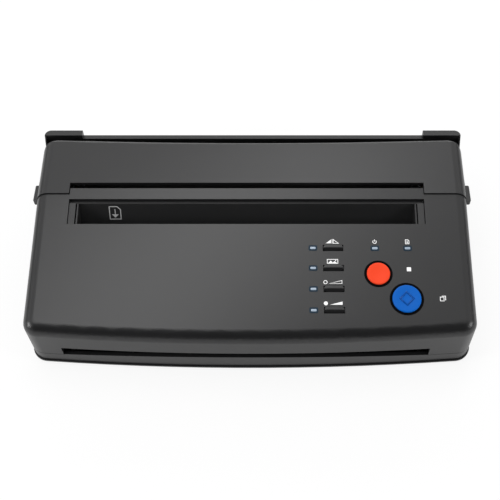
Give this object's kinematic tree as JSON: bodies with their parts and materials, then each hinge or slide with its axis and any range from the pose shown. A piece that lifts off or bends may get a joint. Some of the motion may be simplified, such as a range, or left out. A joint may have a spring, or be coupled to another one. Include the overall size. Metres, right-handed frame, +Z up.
{
  "type": "thermal stencil copier",
  "caption": "Compact desktop thermal copier with a sloping key panel, a document hopper, a hinged rear cover over the print head, side latches, gear-driven rollers and a front paper slot.",
  "frame": {"origin": "centre of the footprint on the table, under the middle of the case", "axes": "+X to the right as seen from the front, +Y from the key panel to the rear cover, +Z up"},
  "size_m": [0.2814, 0.145, 0.0623],
  "materials": {
    "black_abs": "satin, fine moulded texture",
    "key_black": "satin",
    "red_button": "semi-gloss",
    "blue_button": "semi-gloss",
    "foot_rubber": "matte",
    "roller_rubber": "ground, matte",
    "white_rubber": "matte",
    "steel": "bright",
    "frame_steel": "zinc plated",
    "gear_acetal": "natural acetal",
    "pinion_brass": "turned",
    "bush_bronze": "sintered",
    "head_aluminium": "extruded",
    "ceramic": "glazed",
    "sensor_black": "matte",
    "scan_glass": "clear",
    "window_clear": "clear",
    "board_green": "solder mask",
    "standoff_nylon": "natural"
  },
  "bodies": {
    "chassis": {"lower_case": "black_abs", "feet": "foot_rubber", "front_cover": "black_abs", "document_chute": "black_abs", "left_side_frame": "frame_steel", "right_side_frame": "frame_steel", "shaft_bushes": "bush_bronze", "hinge_pins": "steel", "latch_pins": "steel", "idler_studs": "steel", "stepper_motor": "frame_steel", "image_sensor": "sensor_black", "scan_glass": "scan_glass", "separation_bar": "black_abs", "separation_pad": "foot_rubber", "document_guide": "black_abs", "key_board": "board_green", "board_screws": "steel", "key_switches": "sensor_black", "key_lamps": "window_clear", "light_windows": "window_clear", "main_board": "board_green", "board_standoffs": "standoff_nylon", "main_board_screws": "steel", "power_socket": "sensor_black", "switch_housing": "sensor_black", "case_screws": "steel"},
    "cover": {"rear_cover": "black_abs", "head_springs": "steel"},
    "head": {"print_head": "head_aluminium", "heater_strip": "ceramic"},
    "left_latch": {"left_latch": "black_abs"},
    "right_latch": {"right_latch": "black_abs"},
    "platen": {"platen_roller": "roller_rubber", "platen_shaft": "steel", "platen_gear": "gear_acetal"},
    "feed": {"feed_roller": "roller_rubber", "feed_shaft": "steel", "feed_gear": "gear_acetal"},
    "scan": {"scan_roller": "white_rubber", "scan_shaft": "steel", "scan_gear": "gear_acetal"},
    "large_idler": {"large_idler_gear": "gear_acetal"},
    "small_idler": {"small_idler_gear": "gear_acetal"},
    "pinion": {"motor_pinion": "pinion_brass", "motor_shaft": "steel"},
    "stop_button": {"stop_button": "red_button"},
    "copy_button": {"copy_button": "blue_button"},
    "mirror_key": {"mirror_key": "key_black"},
    "photo_key": {"photo_key": "key_black"},
    "light_tone_key": {"light_tone_key": "key_black"},
    "dark_tone_key": {"dark_tone_key": "key_black"},
    "power_rocker": {"power_rocker": "sensor_black"}
  },
  "joints": [
    {"name": "cover_hinge", "type": "hinge", "parent": "chassis", "child": "cover", "pos_m": [0, 0.0585, 0.0535], "axis": [-1, 0, 0], "range_deg": [0, 78]},
    {"name": "head_float", "type": "slide", "parent": "cover", "child": "head", "axis": [0, 0, 1], "range_m": [0, 0.0012], "stiffness_N_per_m": 2000, "springref_m": -0.001, "deforming": ["head_springs"]},
    {"name": "left_latch_pivot", "type": "hinge", "parent": "chassis", "child": "left_latch", "pos_m": [-0.129, 0.03, 0.02], "axis": [-1, 0, 0], "range_deg": [0, 5], "stiffness_Nm_per_rad": 0.05, "springref_deg": -5.73},
    {"name": "right_latch_pivot", "type": "hinge", "parent": "chassis", "child": "right_latch", "pos_m": [0.129, 0.03, 0.02], "axis": [-1, 0, 0], "range_deg": [0, 5], "stiffness_Nm_per_rad": 0.05, "springref_deg": -5.73},
    {"name": "platen_spin", "type": "hinge", "parent": "chassis", "child": "platen", "pos_m": [0, 0.044, 0.04], "axis": [1, 0, 0], "continuous": true},
    {"name": "feed_spin", "type": "hinge", "parent": "chassis", "child": "feed", "pos_m": [0, -0.002, 0.024], "axis": [1, 0, 0], "continuous": true},
    {"name": "scan_spin", "type": "hinge", "parent": "chassis", "child": "scan", "pos_m": [0, -0.028, 0.0235], "axis": [1, 0, 0], "continuous": true},
    {"name": "large_idler_spin", "type": "hinge", "parent": "chassis", "child": "large_idler", "pos_m": [0, 0.02195, 0.02548], "axis": [1, 0, 0], "continuous": true},
    {"name": "small_idler_spin", "type": "hinge", "parent": "chassis", "child": "small_idler", "pos_m": [0, -0.01624, 0.03435], "axis": [1, 0, 0], "continuous": true},
    {"name": "motor_spin", "type": "hinge", "parent": "chassis", "child": "pinion", "pos_m": [0, 0.03771, 0.0145], "axis": [1, 0, 0], "continuous": true},
    {"name": "mirror_key_press", "type": "slide", "parent": "chassis", "child": "mirror_key", "axis": [0, 0.184, -0.9829], "range_m": [0, 0.0005], "stiffness_N_per_m": 500, "springref_m": -0.0004},
    {"name": "photo_key_press", "type": "slide", "parent": "chassis", "child": "photo_key", "axis": [0, 0.184, -0.9829], "range_m": [0, 0.0005], "stiffness_N_per_m": 500, "springref_m": -0.0004},
    {"name": "light_tone_key_press", "type": "slide", "parent": "chassis", "child": "light_tone_key", "axis": [0, 0.184, -0.9829], "range_m": [0, 0.0005], "stiffness_N_per_m": 500, "springref_m": -0.0004},
    {"name": "dark_tone_key_press", "type": "slide", "parent": "chassis", "child": "dark_tone_key", "axis": [0, 0.184, -0.9829], "range_m": [0, 0.0005], "stiffness_N_per_m": 500, "springref_m": -0.0004},
    {"name": "stop_button_press", "type": "slide", "parent": "chassis", "child": "stop_button", "axis": [0, 0.184, -0.9829], "range_m": [0, 0.001], "stiffness_N_per_m": 500, "springref_m": -0.0004},
    {"name": "copy_button_press", "type": "slide", "parent": "chassis", "child": "copy_button", "axis": [0, 0.184, -0.9829], "range_m": [0, 0.001], "stiffness_N_per_m": 500, "springref_m": -0.0004},
    {"name": "rocker_tilt", "type": "hinge", "parent": "chassis", "child": "power_rocker", "pos_m": [-0.062, 0.0675, 0.015], "axis": [0, 0, 1], "range_deg": [0, 10]}
  ],
  "couplings": [
    {"joint": "feed_spin", "follows": "platen_spin", "ratio": 1.25},
    {"joint": "scan_spin", "follows": "platen_spin", "ratio": 1.5},
    {"joint": "large_idler_spin", "follows": "platen_spin", "ratio": -0.83333},
    {"joint": "small_idler_spin", "follows": "platen_spin", "ratio": -1.5},
    {"joint": "motor_spin", "follows": "platen_spin", "ratio": 2.5}
  ]
}
